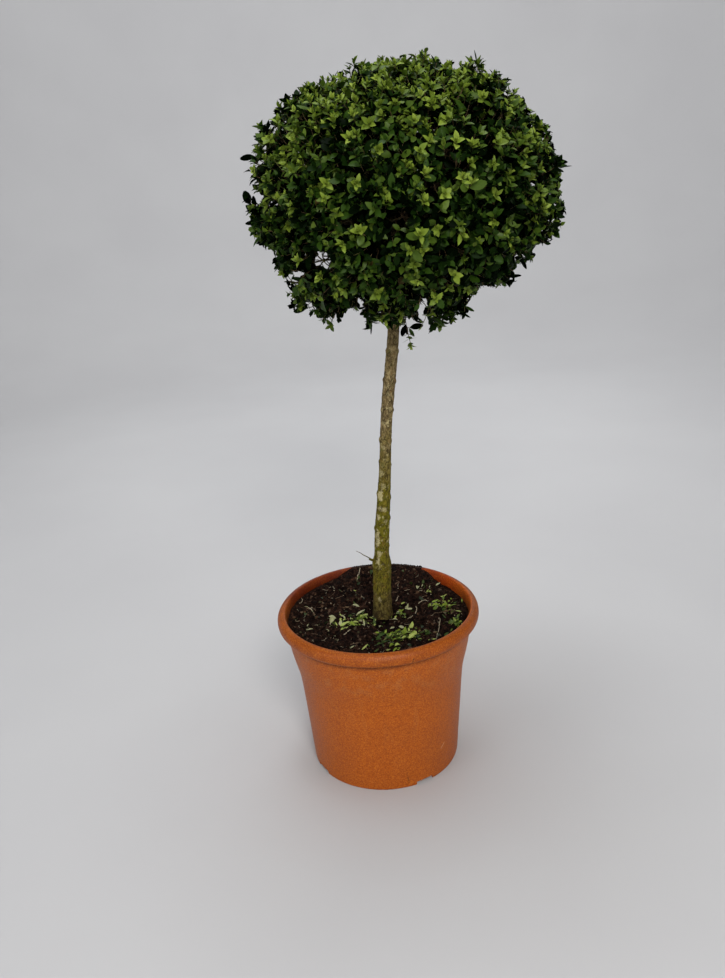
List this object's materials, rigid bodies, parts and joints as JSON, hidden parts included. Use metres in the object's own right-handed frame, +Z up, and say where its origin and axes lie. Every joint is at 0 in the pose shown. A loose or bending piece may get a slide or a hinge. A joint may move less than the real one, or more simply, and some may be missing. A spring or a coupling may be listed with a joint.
{
  "type": "potted standard box topiary",
  "caption": "Clipped ball of small-leaved evergreen on a bare leaning stem, standing in a round tapered nursery pot filled with compost.",
  "frame": {"origin": "centre of the pot's flat underside, on the surface it stands on", "axes": "+Z up through the plant; +X is the side the stem leans to and the crown is fullest on; -Y is the front, the side that the picture shows"},
  "size_m": [0.383, 0.3642, 0.9089],
  "materials": {
    "pot_plastic": "satin",
    "compost": "matte",
    "bark": "matte",
    "foliage": "satin"
  },
  "bodies": {
    "root": {"pot": "pot_plastic", "compost": "compost", "trunk": "bark", "bough_1": "bark", "bough_2": "bark", "bough_3": "bark", "bough_4": "bark", "bough_5": "bark", "crown": "foliage"}
  },
  "joints": []
}
